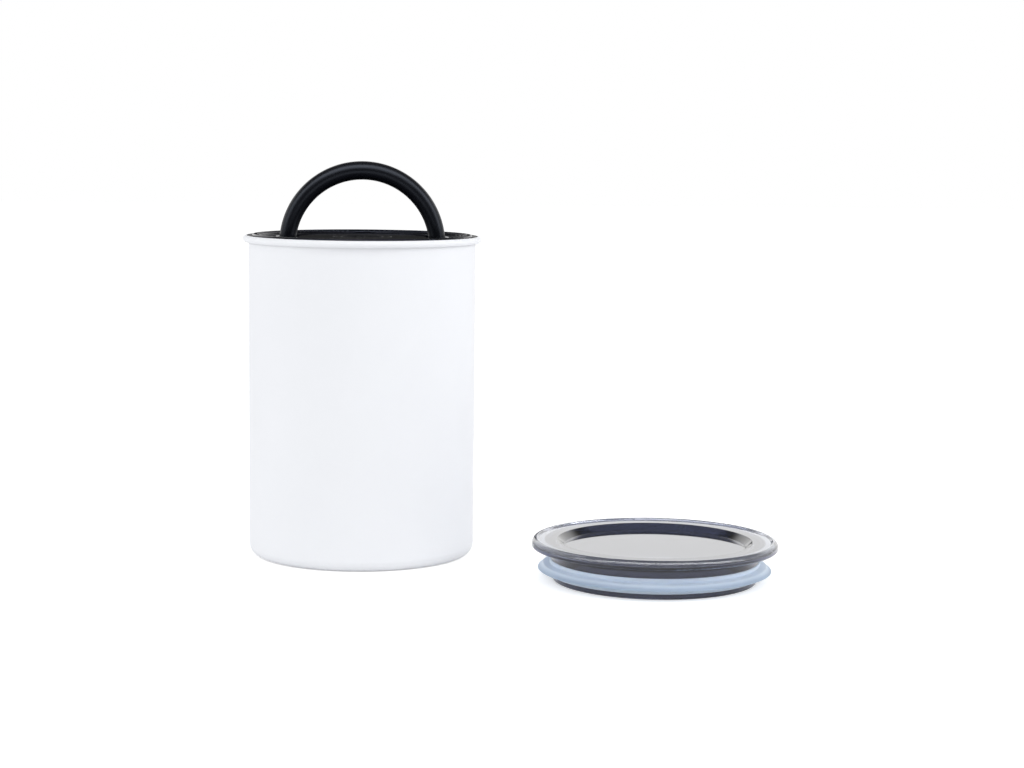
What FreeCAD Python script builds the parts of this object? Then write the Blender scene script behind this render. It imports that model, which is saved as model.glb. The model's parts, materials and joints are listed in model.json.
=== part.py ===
import FreeCAD, Part
import math
import os

from FreeCAD import Matrix, Vector

# Sizes in millimetres. The origin is the centre of the canister's foot, +Z is up, and -Y is the front.

# Canister: a rolled steel tube with a curled mouth, welded to a drawn base pan.
body_diameter = 124.0
body_height = 175.8
sheet = 0.6
bead_radius = 1.85
curl_tail_gap = 0.15
seam_height = 12.0
foot_corner = 5.9
foot_width = 6.0
panel_rise = 3.0
panel_bend = 1.0

# Plunger: the inner lid that slides down on the contents, a deck snapped onto a cup.
plunger_gap = 1.2
rim_stand = 0.8
rim_width = 2.8
rim_height = 1.4
deck = 2.5
skirt = 2.0
skirt_height = 9.9
spigot_play = 0.15
snap_bead = 0.4
snap_half_height = 0.8
snap_drop = 2.5
cup_height = 21.5
cup_wall = 2.0
cup_floor = 2.2
plate_recess = 1.0
plate_recess_radius = 40.0

# Wiper seal: a soft sleeve round the cup with lips that sweep the canister wall.
sleeve = 1.6
sleeve_play = 0.05
wiper_gap = 0.2
lip_count = 2
lip_root = 1.6
lip_tip = 0.7
lip_rise = 3.0
lip_margin = 0.8

# Handle: an arch on two pivots that folds back into a channel in the deck.
handle_margin = 16.4
foot_thickness = 9.0
crown_thickness = 10.1
foot_depth = 10.0
crown_depth = 10.8
arch_sections = 13
pivot_drop = 4.9
pivot_play = 0.05
stub_radius = 2.0
stub_engagement = 2.8
shoulder_radius = 3.4
shoulder_gap = 0.4
channel_gap = 0.75
channel_wall = 1.8
channel_corner = 3.0
channel_lead = 0.6
boss_radius = 4.4
boss_length = 3.6
scoop_width = 17.0
scoop_depth = 1.4

# Valve: a body dropped into the deck, a check disc that lifts off its seat, and a slotted cap.
valve_bore = 13.2
valve_flange = 1.2
valve_flange_width = 2.8
valve_play = 0.15
valve_depth = 10.5
valve_wall = 1.5
cap_thickness = 1.8
cap_sink = 0.2
cap_ledge = 1.15
cap_slots = 8
cap_slot_width = 1.4
cap_slot_inner = 4.6
cap_slot_margin = 2.2
web = 1.6
seat_height = 0.6
seat_width = 1.0
disc_thickness = 1.4
disc_margin = 0.5
disc_overlap = 0.6
disc_lift = 1.5
lift_spare = 0.1
stem_radius = 1.5
stem_play = 0.05
stem_length = 5.6
stop_radius = 2.4
vent_holes = 6
vent_radius = 1.5
plate_slots = 6
plate_slot_width = 2.0
plate_slot_inner = 5.0
plate_slot_outer = 15.0

# Outer lid: a clear dish with a plug below it, lying flat to the right of the canister and in front of it.
lid_right = 153.6
lid_front = 78.4
lid_height = 21.6
lid_wall = 2.0
lid_inset = 0.4
lid_round = 0.5
flange_height = 4.6
flange_round = 2.6
flange_foot_round = 0.9
lip_flat = 0.4
land_drop = 0.9
dish_depth = 4.1
dish_radius = 47.5
dish_wall_run = 3.5
plug_radius = 54.6
foot_ring_radius = 53.6
foot_ring_height = 2.9
groove_height = 8.1
groove_depth = 2.4

# Lid seal: a pale sleeve in the plug's groove with one broad lip.
lid_seal_play = 0.05
lid_seal_proud = 0.5
lid_seal_round = 0.4
lid_lip_gap = 0.15
lid_lip_height = 8.9
lid_lip_share = 0.55
lid_lip_dip = 0.5
lid_lip_droop = 2.9
lid_lip_root = 1.6
lid_lip_bend = 1.4
lid_lip_tip = 0.6
lid_lip_round = 1.5

# Radii and heights that several pieces share.
body_radius = body_diameter / 2
bore_radius = body_radius - sheet
bead_centre = bore_radius + bead_radius

plunger_radius = bore_radius - plunger_gap
rim_bore = plunger_radius - rim_width
rim_top = body_height + rim_stand
deck_top = rim_top - rim_height
deck_under = deck_top - deck
skirt_bottom = rim_top - skirt_height
skirt_bore = plunger_radius - skirt
snap_height = deck_under - snap_drop
cup_bottom = deck_under - cup_height
sleeve_radius = plunger_radius - sleeve
neck_radius = sleeve_radius - sleeve
sleeve_foot = cup_bottom + cup_floor

handle_radius = rim_bore - handle_margin
pivot = deck_top - pivot_drop
channel_half = crown_thickness / 2 + channel_gap
channel_inner = handle_radius - channel_half
channel_outer = handle_radius + channel_half
channel_reach = crown_depth / 2 + channel_gap
channel_floor = pivot - channel_reach

valve_flange_radius = valve_bore + valve_flange_width
valve_ledge = deck_top - valve_flange
barrel_radius = valve_bore - valve_play
cap_bore = barrel_radius - valve_wall
cap_under = deck_top - cap_sink - cap_thickness
chamber_radius = cap_bore - cap_ledge
web_bottom = deck_top - valve_depth
web_top = web_bottom + web
seat_top = web_top + seat_height
disc_top = seat_top + disc_thickness
disc_radius = chamber_radius - disc_margin
seat_outer = disc_radius - disc_overlap
seat_inner = seat_outer - seat_width

lid_place = Vector(lid_right, -lid_front, 0)
groove_floor = plug_radius - groove_depth
groove_top = foot_ring_height + groove_height

# Two points closer than this are one point.
touching = 1e-6


def corner_points(corners, index):
    """Start, middle and end of the fillet at one corner of an outline."""
    here = Vector(corners[index][0], 0, corners[index][1])
    before = Vector(corners[index - 1][0], 0, corners[index - 1][1])
    following = corners[(index + 1) % len(corners)]
    after = Vector(following[0], 0, following[1])
    if len(corners[index]) == 2:
        return here, None, here
    fillet = corners[index][2]
    back = (before - here).normalize()
    ahead = (after - here).normalize()
    half = back.getAngle(ahead) / 2
    inward = (back + ahead).normalize()
    reach = fillet / math.tan(half)
    middle = here + inward * (fillet / math.sin(half) - fillet)
    return here + back * reach, middle, here + ahead * reach


def outline_face(corners):
    """Closed face in the XZ plane through (radius, height) or (radius, height, fillet) corners."""
    joints = [corner_points(corners, index) for index in range(len(corners))]
    edges = []
    for index, (start, middle, end) in enumerate(joints):
        if middle is not None:
            edges.append(Part.Arc(start, middle, end).toShape())
        next_start = joints[(index + 1) % len(joints)][0]
        if not end.isEqual(next_start, touching):
            edges.append(Part.LineSegment(end, next_start).toShape())
    return Part.Face(Part.Wire(edges))


def turned(face, angle=360):
    """Solid swept by turning a face about the Z axis."""
    return face.revolve(Vector(0, 0, 0), Vector(0, 0, 1), angle)


def stretched(shape, centre, first, second, third):
    """Unit shape carried to a centre, with its X, Y and Z axes stretched to three vectors."""
    return shape.transformGeometry(Matrix(
        first.x, second.x, third.x, centre.x,
        first.y, second.y, third.y, centre.y,
        first.z, second.z, third.z, centre.z,
        0, 0, 0, 1,
    ))


def radial_slots(count, inner, outer, width, bottom, top):
    """Round-ended slots set like spokes about the Z axis."""
    half = width / 2
    height = top - bottom
    slots = []
    for index in range(count):
        slot = Part.makeBox(outer - inner, width, height, Vector(inner, -half, bottom))
        for end in (inner, outer):
            slot = slot.fuse(Part.makeCylinder(half, height, Vector(end, 0, bottom)))
        slot.rotate(Vector(0, 0, 0), Vector(0, 0, 1), 360 * index / count)
        slots.append(slot)
    return slots


def canister_wall():
    """Straight tube whose top edge is curled outward into a closed bead."""
    curl_centre = Vector(bead_centre, 0, body_height - bead_radius)
    tail = -math.acos((sheet + curl_tail_gap) / bead_radius - 1)
    middle = (math.pi + tail) / 2

    def on_curl(radius, angle):
        return curl_centre + Vector(math.cos(angle), 0, math.sin(angle)) * radius

    outside = [on_curl(bead_radius, angle) for angle in (math.pi, middle, tail)]
    inside = [on_curl(bead_radius - sheet, angle) for angle in (tail, middle, math.pi)]
    inner_foot = Vector(bore_radius, 0, seam_height)
    outer_foot = Vector(body_radius, 0, seam_height)
    edges = [
        Part.LineSegment(inner_foot, outside[0]),
        Part.Arc(*outside),
        Part.LineSegment(outside[2], inside[0]),
        Part.Arc(*inside),
        Part.LineSegment(inside[2], outer_foot),
        Part.LineSegment(outer_foot, inner_foot),
    ]
    return turned(Part.Face(Part.Wire([edge.toShape() for edge in edges])))


def base_pan():
    """Drawn pan: a rounded corner, a flat foot ring and a panel raised clear of the table."""
    step = body_radius - foot_corner - foot_width
    wide_bend = panel_bend + sheet
    return turned(outline_face([
        (0, panel_rise),
        (step, panel_rise, panel_bend),
        (step, 0, wide_bend),
        (body_radius, 0, foot_corner),
        (body_radius, seam_height),
        (bore_radius, seam_height),
        (bore_radius, sheet, foot_corner - sheet),
        (step + sheet, sheet, panel_bend),
        (step + sheet, panel_rise + sheet, wide_bend),
        (0, panel_rise + sheet),
    ]))


def along_channel(face, end_reach):
    """Sweep a section round the back half circle and straight on past both handle feet."""
    onward = Vector(0, -end_reach, 0)
    far_face = face.copy()
    far_face.rotate(Vector(0, 0, 0), Vector(0, 0, 1), 180)
    sweep = turned(face, 180)
    sweep = sweep.fuse([face.extrude(onward), far_face.extrude(onward)])
    return sweep.removeSplitter()


def channel_trough():
    """Wall of the handle channel, hanging under the deck."""
    corner = channel_corner + channel_wall
    floor = channel_floor - channel_wall
    top = deck_top - deck / 2
    section = outline_face([
        (channel_inner - channel_wall, floor, corner),
        (channel_outer + channel_wall, floor, corner),
        (channel_outer + channel_wall, top),
        (channel_inner - channel_wall, top),
    ])
    return along_channel(section, channel_reach + channel_wall)


def channel_hollow():
    """Room in the deck for the folded handle, with its edges eased."""
    section = outline_face([
        (channel_inner, channel_floor, channel_corner),
        (channel_outer, channel_floor, channel_corner),
        (channel_outer, deck_top - channel_lead),
        (channel_outer + channel_lead, deck_top),
        (channel_outer + channel_lead, rim_top),
        (channel_inner - channel_lead, rim_top),
        (channel_inner - channel_lead, deck_top),
        (channel_inner, deck_top - channel_lead),
    ])
    return along_channel(section, channel_reach)


def finger_scoop():
    """Shallow bowl behind the folded handle's crown, where a fingertip lifts it."""
    half_width = scoop_width / 2
    ball_radius = (half_width ** 2 + scoop_depth ** 2) / (2 * scoop_depth)
    middle = (channel_outer + rim_bore) / 2
    ball = Part.makeSphere(ball_radius, Vector(0, middle, deck_top + ball_radius - scoop_depth))
    reach = Part.makeCylinder(rim_bore - rim_height / 2, deck, Vector(0, 0, deck_under))
    return ball.common(reach)


def sideways_rod(side, radius, start, length):
    """Round rod on the handle's pivot axis, running outward on one side."""
    outward = Vector(side, 0, 0)
    return Part.makeCylinder(radius, length, Vector(side * start, 0, pivot), outward)


def plunger_top():
    """Deck with its rim and skirt, the handle channel and its pivot bosses, and the finger scoop."""
    solid = turned(outline_face([
        (valve_bore, deck_under),
        (valve_bore, valve_ledge),
        (valve_flange_radius, valve_ledge),
        (valve_flange_radius, deck_top),
        (rim_bore, deck_top, rim_height / 2),
        (rim_bore, rim_top, rim_height / 4),
        (plunger_radius, rim_top, rim_width / 3),
        (plunger_radius, skirt_bottom),
        (skirt_bore, skirt_bottom),
        (skirt_bore, snap_height - snap_half_height),
        (skirt_bore + snap_bead, snap_height),
        (skirt_bore, snap_height + snap_half_height),
        (skirt_bore, deck_under),
    ]))
    bosses = [sideways_rod(side, boss_radius, channel_outer, boss_length) for side in (-1, 1)]
    solid = solid.fuse([channel_trough(), *bosses])
    bore_length = channel_half + boss_length
    bores = [sideways_rod(side, stub_radius + pivot_play, handle_radius, bore_length) for side in (-1, 1)]
    return solid.cut([channel_hollow(), finger_scoop(), *bores]).removeSplitter()


def plunger_base():
    """Cup that closes the plunger from below, with a snap ring at its mouth and vent slots in its floor."""
    spigot_radius = skirt_bore - spigot_play
    cup_bore = neck_radius - cup_wall
    inner_floor = cup_bottom + plate_recess + cup_floor
    solid = turned(outline_face([
        (0, cup_bottom + plate_recess),
        (plate_recess_radius, cup_bottom + plate_recess),
        (plate_recess_radius + plate_recess, cup_bottom),
        (sleeve_radius, cup_bottom, cup_floor / 3),
        (sleeve_radius, sleeve_foot, cup_floor / 6),
        (neck_radius, sleeve_foot),
        (neck_radius, skirt_bottom),
        (spigot_radius, skirt_bottom),
        (spigot_radius, snap_height - snap_half_height),
        (spigot_radius + snap_bead, snap_height),
        (spigot_radius, snap_height + snap_half_height),
        (spigot_radius, deck_under),
        (cup_bore, deck_under),
        (cup_bore, inner_floor, cup_wall),
        (0, inner_floor),
    ]))
    return solid.cut(radial_slots(
        plate_slots, plate_slot_inner, plate_slot_outer, plate_slot_width, cup_bottom, inner_floor + cup_floor))


def wiper_gasket():
    """Sleeve clamped between the skirt and the cup's flange, with flared lips."""
    height = skirt_bottom - sleeve_foot
    inner = neck_radius + sleeve_play
    seal = turned(outline_face([
        (inner, sleeve_foot),
        (sleeve_radius, sleeve_foot),
        (sleeve_radius, skirt_bottom),
        (inner, skirt_bottom),
    ]))
    root_radius = (inner + sleeve_radius) / 2
    lip_radius = bore_radius - wiper_gap
    for index in range(lip_count):
        root = sleeve_foot + lip_margin + height * index / lip_count
        seal = seal.fuse(turned(outline_face([
            (root_radius, root),
            (sleeve_radius, root),
            (lip_radius, root + lip_rise),
            (lip_radius, root + lip_rise + lip_tip),
            (sleeve_radius, root + lip_root),
            (root_radius, root + lip_root),
        ])))
    return seal.removeSplitter()


def valve_body():
    """Barrel that hangs from a flange in the deck, with a vented web and a raised seat ring."""
    guide_radius = stem_radius + stem_play
    solid = turned(outline_face([
        (guide_radius, web_bottom),
        (barrel_radius, web_bottom),
        (barrel_radius, valve_ledge),
        (valve_flange_radius - valve_play, valve_ledge),
        (valve_flange_radius - valve_play, deck_top, valve_flange / 4),
        (cap_bore, deck_top),
        (cap_bore, cap_under),
        (chamber_radius, cap_under),
        (chamber_radius, web_top),
        (seat_outer, web_top),
        (seat_outer, seat_top),
        (seat_inner, seat_top),
        (seat_inner, web_top),
        (guide_radius, web_top),
    ]))
    vent_ring = (guide_radius + seat_inner) / 2
    for index in range(vent_holes):
        angle = 2 * math.pi * index / vent_holes
        place = Vector(vent_ring * math.cos(angle), vent_ring * math.sin(angle), web_bottom)
        solid = solid.cut(Part.makeCylinder(vent_radius, web, place))
    return solid


def valve_disc():
    """Soft disc that lies on the seat ring, guided by the stem through the web."""
    return turned(outline_face([
        (0, seat_top - stem_length),
        (stem_radius, seat_top - stem_length, stem_radius / 3),
        (stem_radius, seat_top),
        (disc_radius, seat_top),
        (disc_radius, disc_top, disc_thickness / 3),
        (0, disc_top),
    ]))


def valve_cap():
    """Slotted cap sunk a little below the deck, with a stop that limits the disc's lift."""
    cap_top = cap_under + cap_thickness
    cap_radius = cap_bore - valve_play
    stop = disc_top + disc_lift + lift_spare
    solid = turned(outline_face([
        (0, stop),
        (stop_radius, stop),
        (stop_radius, cap_under),
        (cap_radius, cap_under),
        (cap_radius, cap_top, cap_thickness / 4),
        (0, cap_top),
    ]))
    return solid.cut(radial_slots(
        cap_slots, cap_slot_inner, cap_radius - cap_slot_margin, cap_slot_width, cap_under, cap_top))


def arch_section(angle):
    """Oval section of the handle at one angle round the arch, thickest at the crown."""
    rise = math.sin(angle)
    outward = Vector(math.cos(angle), 0, rise)
    along = Vector(-rise, 0, math.cos(angle))
    thickness = foot_thickness + (crown_thickness - foot_thickness) * rise
    depth = foot_depth + (crown_depth - foot_depth) * rise
    centre = Vector(0, 0, pivot) + outward * handle_radius
    circle = Part.Circle(Vector(0, 0, 0), Vector(0, 0, 1), 1).toShape()
    return Part.Wire(stretched(circle, centre, outward * (thickness / 2), Vector(0, depth / 2, 0), along))


def handle():
    """Arched handle with rounded feet, and on each foot a shoulder and a pivot stub."""
    angles = [math.pi * index / (arch_sections - 1) for index in range(arch_sections)]
    arch = Part.makeLoft([arch_section(angle) for angle in angles], True)
    pieces = []
    for side in (-1, 1):
        half_ball = Part.makeSphere(1, Vector(0, 0, 0), Vector(0, 0, 1), -90, 0, 360)
        pieces.append(stretched(
            half_ball,
            Vector(side * handle_radius, 0, pivot),
            Vector(foot_thickness / 2, 0, 0),
            Vector(0, foot_depth / 2, 0),
            Vector(0, 0, foot_depth / 2),
        ))
        pieces.append(sideways_rod(side, shoulder_radius, handle_radius, channel_half - shoulder_gap))
        pieces.append(sideways_rod(side, stub_radius, handle_radius, channel_half + stub_engagement))
    return arch.fuse(pieces).removeSplitter()


def lid_dish():
    """Clear lid: a shallow dish, a hollow flange that sits on the bead, and a grooved plug below."""
    flange_radius = bead_centre + bead_radius - lid_inset
    flange_bottom = lid_height - flange_height
    land_top = lid_height - land_drop
    land_under = land_top - lid_wall
    dish_top = lid_height - dish_depth
    plug_bore = groove_floor - lid_wall
    land_outer = flange_radius - flange_round - lip_flat
    return turned(outline_face([
        (0, dish_top - lid_wall),
        (plug_bore, dish_top - lid_wall, lid_wall),
        (plug_bore, 0, lid_round),
        (foot_ring_radius, 0, lid_round),
        (foot_ring_radius, foot_ring_height, lid_round),
        (groove_floor, foot_ring_height),
        (groove_floor, groove_top),
        (plug_radius, groove_top),
        (plug_radius, land_under, lid_round),
        (flange_radius - lid_wall, land_under, lid_round),
        (flange_radius - lid_wall, flange_bottom),
        (flange_radius, flange_bottom, flange_foot_round),
        (flange_radius, lid_height, flange_round),
        (land_outer, lid_height, lid_round),
        (land_outer - land_drop, land_top, lid_round),
        (dish_radius + dish_wall_run, land_top, lid_round),
        (dish_radius, dish_top, lid_round),
        (0, dish_top),
    ])).translated(lid_place)


def lid_gasket():
    """Pale sleeve in the plug's groove; its lip runs out, bends down and ends just short of the canister's bore."""
    inner = groove_floor + lid_seal_play
    outer = plug_radius + lid_seal_proud
    bottom = foot_ring_height + lid_seal_play
    top = groove_top - lid_seal_play
    lip_radius = bore_radius - lid_lip_gap
    tip_top = lid_lip_height - lid_lip_droop
    bend_radius = outer + (lip_radius - outer) * lid_lip_share
    bend_top = lid_lip_height - lid_lip_dip
    return turned(outline_face([
        (inner, bottom),
        (outer, bottom, lid_seal_round),
        (outer, lid_lip_height - lid_lip_root, lid_seal_round),
        (bend_radius, bend_top - lid_lip_bend, lid_lip_round),
        (lip_radius, tip_top - lid_lip_tip, lid_lip_tip / 3),
        (lip_radius, tip_top, lid_lip_tip / 3),
        (bend_radius, bend_top, lid_lip_round),
        (outer, lid_lip_height, lid_seal_round),
        (outer, top, lid_seal_round),
        (inner, top),
    ])).translated(lid_place)


pieces = (
    canister_wall,
    base_pan,
    plunger_top,
    plunger_base,
    wiper_gasket,
    valve_body,
    valve_disc,
    valve_cap,
    handle,
    lid_dish,
    lid_gasket,
)

os.makedirs("parts", exist_ok=True)
for piece in pieces:
    piece().exportStep(f"parts/{piece.__name__}.step")
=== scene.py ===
import json
import math

import bpy
from mathutils import Matrix, Vector

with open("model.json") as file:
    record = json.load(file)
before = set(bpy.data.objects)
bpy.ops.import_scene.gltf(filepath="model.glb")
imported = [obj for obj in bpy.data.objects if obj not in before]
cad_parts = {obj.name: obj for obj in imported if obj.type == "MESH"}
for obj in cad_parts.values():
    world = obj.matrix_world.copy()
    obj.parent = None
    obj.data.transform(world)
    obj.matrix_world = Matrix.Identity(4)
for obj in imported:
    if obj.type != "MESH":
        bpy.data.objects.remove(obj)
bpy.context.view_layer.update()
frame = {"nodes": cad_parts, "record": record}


# The canister's wall and base: steel sheet rolled and welded into a tube, its mouth curled out into a bead,
# and a drawn pan welded in as its floor. Satin white powder coat covers the outside up to the bead's crown.
# The inside is brushed bare steel with one welded seam, and the bead's inner half is painted dark as shade
# and the black lid's reflection.

coat_white = (0.90, 0.915, 0.95, 1)
coat_thin = (0.88, 0.895, 0.93, 1)
coat_tone_scale = 14
coat_refraction = 1.5
coat_shine = 0.12
coat_roughness = (0.46, 0.54)
coat_gloss_scale = 60
coat_peel_scale = 700
coat_peel_softness = 0.35
coat_peel_depth = 0.00004

coat_edge = 0.0004
bore_radius = 0.0614
crown_radius = 0.0636
foot_step_radius = 0.0540
inward_start = -0.02
inward_full = -0.12
floor_lean = 0.4
floor_slope_start = 0.2
floor_slope_full = 0.3

steel_grey = (0.74, 0.73, 0.72, 1)
steel_dull = (0.64, 0.63, 0.62, 1)
steel_metal = 0.45
steel_roughness = (0.26, 0.40)
brush_strokes_per_radian = 4
brush_lines_per_metre = 2600
brush_detail = 3
brush_depth = 0.000004
seam_width = 0.0012
seam_front = 0.050
seam_back = 0.055
# painted shade: a dark ring on the bead's inner half, for the gap beside the black lid and its reflection
# in the steel
shade_ring_colour = (0.030, 0.030, 0.033, 1)
shade_ring_start = 0.1725
shade_ring_end = 0.1738


def add(tree, kind, inputs=None, **settings):
    """Put one node in a tree; settings are its options, inputs are values or sockets for its sockets."""
    node = tree.nodes.new("ShaderNode" + kind)
    for option, value in settings.items():
        setattr(node, option, value)
    for socket, value in (inputs or {}).items():
        if isinstance(value, bpy.types.NodeSocket):
            tree.links.new(value, node.inputs[socket])
        else:
            node.inputs[socket].default_value = value
    return node


def calculate(tree, operation, first, second=0.0, third=0.0):
    """One step of arithmetic on values or sockets."""
    return add(tree, "Math", {0: first, 1: second, 2: third}, operation=operation).outputs[0]


def overlap(tree, first, *others):
    """Where several masks hold at once: their product, from left to right."""
    for other in others:
        first = calculate(tree, "MULTIPLY", first, other)
    return first


def vector_step(tree, operation, first, second=(0, 0, 0)):
    """One step of vector arithmetic; gives the outputs named Vector and Value."""
    return add(tree, "VectorMath", {0: first, 1: second}, operation=operation).outputs


def split(tree, vector):
    """The outputs named X, Y and Z of a vector socket."""
    return add(tree, "SeparateXYZ", {"Vector": vector}).outputs


def ramp(tree, value, start, end, low=0.0, high=1.0):
    """Carry a value smoothly from one range to another, held at both ends."""
    node = add(tree, "MapRange", {
        "Value": value,
        "From Min": start,
        "From Max": end,
        "To Min": low,
        "To Max": high,
    }, interpolation_type="SMOOTHSTEP")
    return node.outputs["Result"]


def blend_values(tree, factor, first, second):
    """Value between two values or value sockets."""
    return add(tree, "Mix", {"Factor": factor, "A": first, "B": second}).outputs[0]


mix_first_colour = 6
mix_second_colour = 7
mix_colour_result = 2


def blend_colours(tree, factor, first, second):
    """Colour between two colours or colour sockets."""
    sockets = {"Factor": factor, mix_first_colour: first, mix_second_colour: second}
    return add(tree, "Mix", sockets, data_type="RGBA").outputs[mix_colour_result]


def start_material(name, sockets):
    """Node material with plain shader values; gives the material, its tree and its shader."""
    material = bpy.data.materials.new(name)
    material.use_nodes = True
    tree = material.node_tree
    shader = tree.nodes["Principled BSDF"]
    for socket, value in sockets.items():
        shader.inputs[socket].default_value = value
    return material, tree, shader


def feed(tree, source, node, socket):
    """Lead one socket into a node's named socket."""
    tree.links.new(source, node.inputs[socket])


def bump(tree, height, shader, depth=1.0):
    """Raise the surface by a height socket times a depth in metres; gives the relief node."""
    relief = add(tree, "Bump", {"Height": height, "Distance": depth, "Strength": 1.0})
    feed(tree, relief.outputs["Normal"], shader, "Normal")
    return relief


def start_effect(name, inputs, output):
    """Empty effect group with named value sockets; gives the group, its inputs and its result socket."""
    group = bpy.data.node_groups.new(name, "ShaderNodeTree")
    for socket in inputs:
        group.interface.new_socket(socket, in_out="INPUT", socket_type="NodeSocketFloat")
    group.interface.new_socket(output, in_out="OUTPUT", socket_type="NodeSocketFloat")
    given = group.nodes.new("NodeGroupInput").outputs
    result = group.nodes.new("NodeGroupOutput").inputs[output]
    return group, given, result


def use_effect(tree, group, **inputs):
    """Place an effect group in a material with its own values; gives the effect's result."""
    node = add(tree, "Group", node_tree=group)
    for socket, value in inputs.items():
        node.inputs[socket.capitalize()].default_value = value
    return node.outputs[0]


noise_low = 0.3
noise_high = 0.7
cloud_detail = 4
cloud_breakup = 0.6
grain_detail = 2


def build_mottle():
    """Slow uneven drift over a surface, between a low and a high value."""
    group, given, result = start_effect("mottle", ("Scale", "Low", "High"), "Value")
    cloud = add(group, "TexNoise", {
        "Vector": add(group, "TexCoord").outputs["Object"],
        "Scale": given["Scale"],
        "Detail": cloud_detail,
        "Roughness": cloud_breakup,
    })
    drift = add(group, "MapRange", {
        "Value": cloud.outputs["Fac"],
        "From Min": noise_low,
        "From Max": noise_high,
        "To Min": given["Low"],
        "To Max": given["High"],
    })
    group.links.new(drift.outputs["Result"], result)
    return group


def build_grain():
    """Fine pebbled relief left by a sprayed coat or by a mould, as a height from 0 to 1."""
    group, given, result = start_effect("grain", ("Scale", "Softness"), "Height")
    pebbles = add(group, "TexNoise", {
        "Vector": add(group, "TexCoord").outputs["Object"],
        "Scale": given["Scale"],
        "Detail": grain_detail,
        "Roughness": given["Softness"],
    })
    group.links.new(pebbles.outputs["Fac"], result)
    return group


mottle = build_mottle()
grain = build_grain()


def uneven(tree, scale, levels=(0, 1)):
    """Mottle between two levels."""
    low, high = levels
    return use_effect(tree, mottle, scale=scale, low=low, high=high)


def uncoated(tree, radius, outward_share, facing_up):
    """Mask of the bare steel: the bore, the bead's inner half and the inner floor."""
    faces_axis = ramp(tree, outward_share, inward_start, inward_full)
    past_step = ramp(tree, radius, foot_step_radius, foot_step_radius + coat_edge)
    within_crown = ramp(tree, radius, crown_radius, crown_radius - coat_edge)
    bare_wall = overlap(tree, faces_axis, past_step, within_crown)
    leaning = calculate(tree, "MULTIPLY_ADD", outward_share, floor_lean, facing_up)
    looks_up = ramp(tree, leaning, floor_slope_start, floor_slope_full)
    within_bore = ramp(tree, radius, bore_radius + coat_edge, bore_radius)
    return calculate(tree, "MAXIMUM", bare_wall, overlap(tree, looks_up, within_bore))


def brush_marks(tree, place, radius):
    """Fine lines that a brush leaves round the bore, from 0 to 1."""
    angle = calculate(tree, "ARCTAN2", place["Y"], place["X"])
    round_place = add(tree, "CombineXYZ", {"X": angle, "Y": radius, "Z": place["Z"]}).outputs["Vector"]
    spacing = (brush_strokes_per_radian, brush_lines_per_metre, brush_lines_per_metre)
    stretched = vector_step(tree, "MULTIPLY", round_place, spacing)["Vector"]
    marks = add(tree, "TexNoise", {"Vector": stretched, "Scale": 1, "Detail": brush_detail})
    return marks.outputs["Fac"]


def steel_colour(tree, place, brushed, shade_ring_mask):
    """Brushed steel with a dull weld at the back and a ring of painted shade on the bead's inner half."""
    off_seam = calculate(tree, "ABSOLUTE", place["X"])
    on_seam = ramp(tree, off_seam, seam_width, seam_width / 2)
    at_back = ramp(tree, place["Y"], seam_front, seam_back)
    weld = overlap(tree, on_seam, at_back)
    bright_steel = blend_colours(tree, brushed, steel_dull, steel_grey)
    clean_steel = blend_colours(tree, weld, bright_steel, steel_dull)
    return blend_colours(tree, shade_ring_mask, clean_steel, shade_ring_colour)


def coat_over_steel():
    """White coat outside and brushed steel inside, each with its own relief."""
    material, tree, shader = start_material("coat_over_steel", {
        "IOR": coat_refraction,
        "Specular IOR Level": coat_shine,
    })
    coordinates = add(tree, "TexCoord").outputs
    place = split(tree, coordinates["Object"])
    flat_place = add(tree, "CombineXYZ", {"X": place["X"], "Y": place["Y"]}).outputs["Vector"]
    radius = vector_step(tree, "LENGTH", flat_place)["Value"]
    outward = vector_step(tree, "NORMALIZE", flat_place)["Vector"]
    outward_share = vector_step(tree, "DOT_PRODUCT", outward, coordinates["Normal"])["Value"]
    facing_up = split(tree, coordinates["Normal"])["Z"]

    bare = uncoated(tree, radius, outward_share, facing_up)
    # painted shade: above this height the bead's inner half is darkened and loses its metal
    shade_ring_mask = overlap(tree, bare, ramp(tree, place["Z"], shade_ring_start, shade_ring_end))
    brushed = brush_marks(tree, place, radius)
    coat = blend_colours(tree, uneven(tree, coat_tone_scale), coat_white, coat_thin)
    steel = steel_colour(tree, place, brushed, shade_ring_mask)
    feed(tree, blend_colours(tree, bare, coat, steel), shader, "Base Color")

    shiny_steel = calculate(tree, "SUBTRACT", bare, shade_ring_mask)
    feed(tree, calculate(tree, "MULTIPLY", shiny_steel, steel_metal), shader, "Metallic")
    rough_coat = uneven(tree, coat_gloss_scale, coat_roughness)
    rough_steel = ramp(tree, brushed, noise_low, noise_high, *steel_roughness)
    feed(tree, blend_values(tree, bare, rough_coat, rough_steel), shader, "Roughness")

    peel = use_effect(tree, grain, scale=coat_peel_scale, softness=coat_peel_softness)
    peel_height = calculate(tree, "MULTIPLY", peel, coat_peel_depth)
    brush_height = calculate(tree, "MULTIPLY", brushed, brush_depth)
    bump(tree, blend_values(tree, bare, peel_height, brush_height), shader)
    return material


def dress(node_names, material):
    """Give CAD nodes one finish."""
    for name in node_names:
        frame["nodes"][name].material_slots[0].material = material


dress(("canister_wall", "base_pan"), coat_over_steel())


# The plunger lid: two black moulded shells snapped together, a deck with a low rim and a handle channel,
# and a cup below it. The moulds are polished, so the faces are smooth and mirror what is behind them,
# and a little dust lies on what faces up.

plastic_black = (0.0030, 0.0033, 0.0048, 1)
plastic_grey = (0.0042, 0.0046, 0.0066, 1)
plastic_tone_scale = 25
plastic_refraction = 1.5
plastic_gloss_scale = 80
plastic_grain_softness = 0.5
mould_round = 0.0003
mould_round_samples = 4

deck_shine = (0.27, 0.30, 0.42, 1)
deck_roughness = (0.045, 0.070)
deck_grain_scale = 2600
deck_grain_depth = 0.0000002
deck_dust = 0.06

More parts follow.
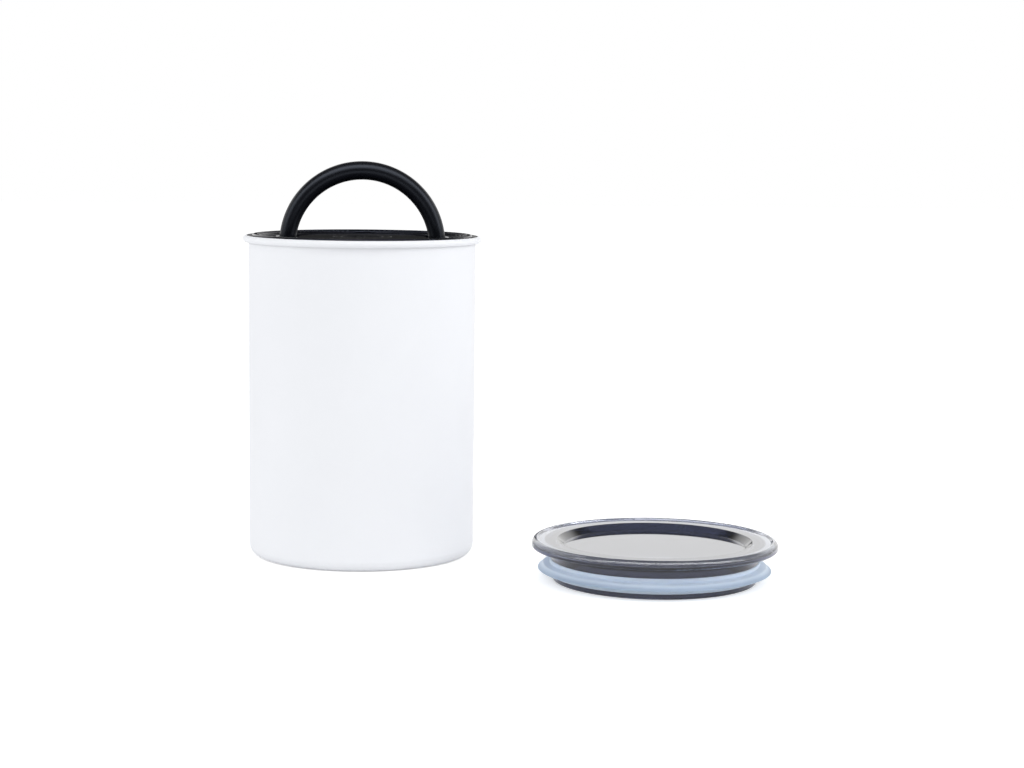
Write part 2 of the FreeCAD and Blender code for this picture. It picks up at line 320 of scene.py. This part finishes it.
dust_colour = (0.24, 0.26, 0.33, 1)
dust_scale = 1500
speck_edge = 0.18
speck_core = 0.05
patch_scale = 60
patch_detail = 3
patch_start = 0.5
patch_full = 0.7
dust_slope_start = 0.5
dust_slope_full = 0.95


def build_dust():
    """Sparse specks on faces that look up, as a mask from 0 to 1."""
    group, given, result = start_effect("dust", ("Scale", "Amount"), "Mask")
    coordinates = add(group, "TexCoord").outputs
    specks = add(group, "TexVoronoi", {"Vector": coordinates["Object"], "Scale": given["Scale"]})
    near_speck = ramp(group, specks.outputs["Distance"], speck_edge, speck_core)
    patches = add(group, "TexNoise", {
        "Vector": coordinates["Object"],
        "Scale": patch_scale,
        "Detail": patch_detail,
    })
    in_patch = ramp(group, patches.outputs["Fac"], patch_start, patch_full)
    upward = ramp(group, split(group, coordinates["Normal"])["Z"], dust_slope_start, dust_slope_full)
    group.links.new(overlap(group, near_speck, in_patch, upward, given["Amount"]), result)
    return group


dust = build_dust()


def moulded_black(name, shine, roughness, grain_scale, grain_depth, dust_amount):
    """Black moulded plastic with a fine grain, softened edges and a trace of dust."""
    material, tree, shader = start_material(name, {"IOR": plastic_refraction, "Specular Tint": shine})
    body = blend_colours(tree, uneven(tree, plastic_tone_scale), plastic_black, plastic_grey)
    specks = use_effect(tree, dust, scale=dust_scale, amount=dust_amount)
    feed(tree, blend_colours(tree, specks, body, dust_colour), shader, "Base Color")
    feed(tree, uneven(tree, plastic_gloss_scale, roughness), shader, "Roughness")
    skin = use_effect(tree, grain, scale=grain_scale, softness=plastic_grain_softness)
    relief = bump(tree, skin, shader, grain_depth)
    eased = add(tree, "Bevel", {"Radius": mould_round}, samples=mould_round_samples)
    feed(tree, eased.outputs["Normal"], relief, "Normal")
    return material


dress(("plunger_top", "plunger_base"), moulded_black(
    "deck_plastic", deck_shine, deck_roughness, deck_grain_scale, deck_grain_depth, deck_dust))


# The wiper seal: a black silicone sleeve moulded with two flared lips, stretched over the cup and clamped
# under the deck's skirt. Its skin is matt with faint rings from the turned mould.

wiper_black = (0.012, 0.012, 0.013, 1)
wiper_worn = (0.030, 0.030, 0.032, 1)
wiper_roughness = (0.55, 0.68)

rubber_refraction = 1.42
rubber_tone_scale = 50
rubber_gloss_scale = 120
mould_rings_per_metre = 900
mould_ring_depth = 0.00001


def ringed_rubber(name, fresh, worn, roughness):
    """Matt silicone with turned rings along its height."""
    material, tree, shader = start_material(name, {"IOR": rubber_refraction})
    feed(tree, blend_colours(tree, uneven(tree, rubber_tone_scale), fresh, worn), shader, "Base Color")
    feed(tree, uneven(tree, rubber_gloss_scale, roughness), shader, "Roughness")
    height = split(tree, add(tree, "TexCoord").outputs["Object"])["Z"]
    turned = calculate(tree, "MULTIPLY", height, 2 * math.pi * mould_rings_per_metre)
    bump(tree, calculate(tree, "SINE", turned), shader, mould_ring_depth)
    return material


dress(("wiper_gasket",), ringed_rubber("wiper_silicone", wiper_black, wiper_worn, wiper_roughness))


# The valve: a black barrel dropped into the deck and welded there, a grey silicone check disc on its
# seat ring, and a slotted black cap pressed in above it.

valve_roughness = (0.055, 0.080)
valve_dust = 0.05

disc_grey = (0.26, 0.27, 0.29, 1)
disc_pale = (0.33, 0.34, 0.36, 1)
disc_roughness = (0.50, 0.60)

dress(("valve_body", "valve_cap"), moulded_black(
    "valve_plastic", deck_shine, valve_roughness, deck_grain_scale, deck_grain_depth, valve_dust))
dress(("valve_disc",), ringed_rubber("disc_silicone", disc_grey, disc_pale, disc_roughness))


# The handle: a black arch moulded in one piece with its pivot stubs, which snap into bores beside the
# channel. Its mould is etched, so its skin is duller and coarser than the deck's.

handle_shine = (0.34, 0.38, 0.46, 1)
handle_roughness = (0.29, 0.34)
handle_grain_scale = 2000
handle_grain_depth = 0.000005
handle_dust = 0.05

dress(("handle",), moulded_black(
    "handle_plastic", handle_shine, handle_roughness, handle_grain_scale, handle_grain_depth, handle_dust))


# The outer lid: one clear smoke-grey moulding with a shallow dish, a hollow flange and a grooved plug. Its
# tint is painted by region: lighter on the rim as painted light coming through it, a middle tint on the
# dish floor, and painted shade on the skirt, the neck and the plug's walls, nearly black in the plug's
# bore.
# It is polished all over but under the flange, where the mould is etched and lets light out of the rim.

# One smoke tint, painted by region: the rim's pale colour is painted light; the wall and deep colours are
# painted shade.
smoke_rim_lit = (0.70, 0.73, 0.82, 1)
smoke_wall_shaded = (0.10, 0.11, 0.175, 1)
smoke_middle = (0.30, 0.32, 0.40, 1)
smoke_bore_shaded = (0.012, 0.014, 0.026, 1)
smoke_refraction = 1.5

lid_foot = next(mount for mount in frame["record"]["mounts"] if mount["name"] == "lid_foot")
lid_centre = lid_foot["pos_m"]
dish_floor_radius = 0.0455
dish_wall_radius = 0.0470
plug_bore_radius = 0.0512
plug_wall_radius = 0.0520
neck_radius = 0.0572
flange_start_radius = 0.0585
# heights where the flange's painted light turns to the skirt's painted shade
skirt_top = 0.0198
skirt_dark = 0.0190
etched_start = 0.0548
etched_end = 0.0620
etched_height = 0.0190
etched_edge = 0.0003
etched_roughness = 0.6

lid_roughness = (0.015, 0.04)
lid_gloss_scale = 70
lid_ripple_scale = 90
lid_ripple_softness = 0.3
lid_ripple_depth = 0.00001
lid_coat_roughness = 0.02
lid_coat_start = 0.3
lid_coat_full = 0.8


def build_lid_ring():
    """Distance from the lid's axis, as a mask that goes from 0 at one radius to 1 at another."""
    group, given, result = start_effect("lid_ring", ("Start", "End"), "Mask")
    place = add(group, "TexCoord").outputs["Object"]
    from_centre = split(group, vector_step(group, "SUBTRACT", place, lid_centre)["Vector"])
    flat = add(group, "CombineXYZ", {"X": from_centre["X"], "Y": from_centre["Y"]}).outputs["Vector"]
    radius = vector_step(group, "LENGTH", flat)["Value"]
    group.links.new(ramp(group, radius, given["Start"], given["End"]), result)
    return group


lid_ring = build_lid_ring()


def smoke_clear():
    """Tinted clear plastic with painted light on the rim and painted shade on skirt, neck and plug, darkest
    in the plug's bore.
    """
    material, tree, shader = start_material("smoke_clear", {
        "Transmission Weight": 1.0,
        "IOR": smoke_refraction,
        "Coat Roughness": lid_coat_roughness,
    })
    coordinates = add(tree, "TexCoord").outputs
    height = split(tree, coordinates["Object"])["Z"]
    facing_up = split(tree, coordinates["Normal"])["Z"]
    feed(tree, ramp(tree, facing_up, lid_coat_start, lid_coat_full), shader, "Coat Weight")

    past_plug = use_effect(tree, lid_ring, start=etched_start, end=etched_start + etched_edge)
    within_skirt = use_effect(tree, lid_ring, start=etched_end, end=etched_end - etched_edge)
    below_land = ramp(tree, height, etched_height, etched_height - etched_edge)
    etched = overlap(tree, past_plug, within_skirt, below_land)
    polished = uneven(tree, lid_gloss_scale, lid_roughness)
    feed(tree, blend_values(tree, etched, polished, etched_roughness), shader, "Roughness")

    # painted shade inside the plug and on the neck and skirt, painted light on the rim's top
    in_plug = use_effect(tree, lid_ring, start=dish_floor_radius, end=dish_wall_radius)
    inner = blend_colours(tree, in_plug, smoke_middle, smoke_bore_shaded)
    below_rim = ramp(tree, height, skirt_top, skirt_dark)
    outside = calculate(tree, "SUBTRACT", 1.0, within_skirt)
    flange = blend_colours(tree, overlap(tree, below_rim, outside), smoke_rim_lit, smoke_wall_shaded)
    in_flange = use_effect(tree, lid_ring, start=neck_radius, end=flange_start_radius)
    outer = blend_colours(tree, in_flange, smoke_wall_shaded, flange)
    past_bore = use_effect(tree, lid_ring, start=plug_bore_radius, end=plug_wall_radius)
    feed(tree, blend_colours(tree, past_bore, inner, outer), shader, "Base Color")

    ripple = use_effect(tree, grain, scale=lid_ripple_scale, softness=lid_ripple_softness)
    bump(tree, ripple, shader, lid_ripple_depth)
    return material


dress(("lid_dish",), smoke_clear())


# The lid's seal: a bluish white silicone ring stretched into the plug's groove, with one broad lip
# that bends down. Light soaks a little way into it, and the lip beyond its bend is painted darker as shade.

silicone_pale = (0.62, 0.72, 0.84, 1)
silicone_milky = (0.67, 0.76, 0.87, 1)
# painted shade on the lip's down-turned face, from its bend to its edge
silicone_lip_shade = (0.34, 0.43, 0.56, 1)
silicone_tone_scale = 45
silicone_soak = 0.4
silicone_soak_colours = (1.0, 1.1, 1.3)
silicone_soak_depth = 0.003
silicone_roughness = (0.36, 0.48)
silicone_skin_scale = 900
silicone_skin_softness = 0.4
silicone_skin_depth = 0.00001

lip_bend_radius = 0.0584
lip_edge_radius = 0.0611


def pale_silicone():
    """Milky silicone with a soft skin and painted shade on the lip beyond its bend."""
    material, tree, shader = start_material("pale_silicone", {
        "IOR": rubber_refraction,
        "Subsurface Weight": silicone_soak,
        "Subsurface Radius": silicone_soak_colours,
        "Subsurface Scale": silicone_soak_depth,
    })
    milky = blend_colours(tree, uneven(tree, silicone_tone_scale), silicone_pale, silicone_milky)
    # painted shade: the lip is darkened from its bend out to its edge
    lip_shade_mask = use_effect(tree, lid_ring, start=lip_bend_radius, end=lip_edge_radius)
    feed(tree, blend_colours(tree, lip_shade_mask, milky, silicone_lip_shade), shader, "Base Color")
    feed(tree, uneven(tree, rubber_gloss_scale, silicone_roughness), shader, "Roughness")
    skin = use_effect(tree, grain, scale=silicone_skin_scale, softness=silicone_skin_softness)
    bump(tree, skin, shader, silicone_skin_depth)
    return material


dress(("lid_gasket",), pale_silicone())


# The stage: a plain pale floor, painted matt white, that takes the shadows of the canister and its lid.
# A little light of its own makes it look white where nothing shades it.

floor_half = 6.0
floor_white = (0.90, 0.90, 0.90, 1)
floor_roughness = 0.9
floor_shine = 0.0
floor_lift = 0.46
plain_white = (1, 1, 1, 1)


def shown_rays(tree):
    """One for rays that show a surface to the camera: straight, mirrored or through clear pieces."""
    path = add(tree, "LightPath").outputs
    seen = calculate(tree, "MAXIMUM", path["Is Camera Ray"], path["Is Glossy Ray"])
    return calculate(tree, "MAXIMUM", seen, path["Is Transmission Ray"])


def pale_floor():
    """Matt white paint that reads as white to the camera."""
    material, tree, shader = start_material("pale_floor", {
        "Base Color": floor_white,
        "Roughness": floor_roughness,
        "Specular IOR Level": floor_shine,
        "Emission Color": plain_white,
    })
    lift = calculate(tree, "MULTIPLY", shown_rays(tree), floor_lift)
    feed(tree, lift, shader, "Emission Strength")
    return material


floor_mesh = bpy.data.meshes.new("floor")
floor_corners = [(x * floor_half, y * floor_half, 0) for x, y in ((-1, -1), (1, -1), (1, 1), (-1, 1))]
floor_mesh.from_pydata(floor_corners, [], [(0, 1, 2, 3)])
floor_mesh.materials.append(pale_floor())
floor = bpy.data.objects.new("floor", floor_mesh)
bpy.context.scene.collection.objects.link(floor)


# The studio light: white paper hung behind the table in a dim room, with a dark gap below it behind the
# canister, a wide soft box overhead and in front, and a broad soft box on each side. The room looks paler
# through the clear lid than it does in the pieces that mirror it.

paper_foot = 0.17
paper_start = 0.28
paper_top = 0.42
paper_front = -0.35
paper_back = 0.05
paper_level = 1.0
paper_light = 0.66

gap_side = 0.055
gap_end = 0.085
gap_dark = 0.046
gap_light = 0.051

room_start = 0.60
room_level = 0.07
ceiling_level = 0.12
clear_level = 0.55

box_foot = 0.40
box_start = 0.80
box_end = 0.955
box_top = 0.995
box_front = -0.08
box_back = -0.30
box_level = 4.4

overhead_place = Vector((0.05, -0.85, 1.45))
overhead_aim = Vector((0.05, -0.04, 0.12))
overhead_width = 2.4
overhead_depth = 0.5
overhead_power = 2.4

side_box_place = Vector((1.62, -0.72, 0.9))
side_box_aim = Vector((0, 0, 0.08))
side_box_side = 1.1
left_box_power = 9.3
right_box_power = 13.2


def hung_paper(tree, direction, beside_gap):
    """Mask of the white paper behind the table, without the gap below it."""
    above_foot = ramp(tree, direction["Z"], paper_foot, paper_start)
    clear_of_gap = calculate(tree, "MAXIMUM", above_foot, beside_gap)
    below_top = ramp(tree, direction["Z"], room_start, paper_top)
    behind = ramp(tree, direction["Y"], paper_front, paper_back)
    return overlap(tree, clear_of_gap, below_top, behind)


def dim_room(tree, direction, beside_gap):
    """Level of the room: dark low in the gap, dim elsewhere and a little lighter at the ceiling."""
    gap_rise = ramp(tree, direction["Z"], gap_dark, gap_light)
    clear_of_gap = calculate(tree, "MAXIMUM", gap_rise, beside_gap)
    open_room = ramp(tree, direction["Z"], paper_top, room_start, room_level, ceiling_level)
    return calculate(tree, "MULTIPLY", clear_of_gap, open_room)


def front_box(tree, direction):
    """Mask of the soft box overhead and in front."""
    above_foot = ramp(tree, direction["Z"], box_foot, box_start)
    below_top = ramp(tree, direction["Z"], box_top, box_end)
    in_front = ramp(tree, direction["Y"], box_front, box_back)
    return overlap(tree, above_foot, below_top, in_front)


def studio_world():
    """White to the camera, one level as light; paper, room and box as seen in and through the pieces."""
    world = bpy.data.worlds.new("studio")
    world.use_nodes = True
    tree = world.node_tree
    background = tree.nodes["Background"]
    background.inputs["Color"].default_value = plain_white
    direction = split(tree, add(tree, "TexCoord").outputs["Generated"])
    path = add(tree, "LightPath").outputs
    beside_gap = ramp(tree, calculate(tree, "ABSOLUTE", direction["X"]), gap_side, gap_end)
    paper = hung_paper(tree, direction, beside_gap)
    white = calculate(tree, "MAXIMUM", paper, path["Is Camera Ray"])
    room = dim_room(tree, direction, beside_gap)
    seen_room = blend_values(tree, path["Is Transmission Ray"], room, clear_level)
    shown = blend_values(tree, white, seen_room, paper_level)
    mirrored_box = overlap(tree, front_box(tree, direction), path["Is Glossy Ray"])
    lit = calculate(tree, "MULTIPLY_ADD", mirrored_box, box_level, shown)
    feed(tree, blend_values(tree, shown_rays(tree), paper_light, lit), background, "Strength")
    return world


def hang_box(name, place, aim, width, depth, power):
    """Soft box that hangs at a place and shines at a point."""
    lamp = bpy.data.lights.new(name, "AREA")
    lamp.shape = "RECTANGLE"
    lamp.size = width
    lamp.size_y = depth
    lamp.energy = power
    holder = bpy.data.objects.new(name, lamp)
    holder.location = place
    holder.rotation_euler = (place - aim).to_track_quat("Z", "Y").to_euler()
    bpy.context.scene.collection.objects.link(holder)


bpy.context.scene.world = studio_world()
hang_box("overhead_box", overhead_place, overhead_aim, overhead_width, overhead_depth, overhead_power)
for side, name, power in ((-1, "left_box", left_box_power), (1, "right_box", right_box_power)):
    place = Vector((side * side_box_place.x, side_box_place.y, side_box_place.z))
    hang_box(name, place, side_box_aim, side_box_side, side_box_side, power)
bpy.context.scene.view_settings.view_transform = "Standard"


# The camera: a little above the rim, looking slightly down and to the right of the canister,
# at the photograph's distance and with its lens.

eye = Vector((0, -1.2068, 0.2313))
turn_right = math.radians(3.934)
look_down = math.radians(6.474)
roll = math.radians(0.584)
lens_mm = 77.11
sensor_mm = 36

camera_data = bpy.data.cameras.new("camera")
camera_data.sensor_fit = "HORIZONTAL"
camera_data.sensor_width = sensor_mm
camera_data.lens = lens_mm
camera = bpy.data.objects.new("camera", camera_data)
heading = Matrix.Rotation(-turn_right, 4, "Z")
tilt = Matrix.Rotation(math.pi / 2 - look_down, 4, "X")
camera.matrix_world = Matrix.Translation(eye) @ heading @ tilt @ Matrix.Rotation(roll, 4, "Z")
bpy.context.scene.collection.objects.link(camera)
bpy.context.scene.camera = camera
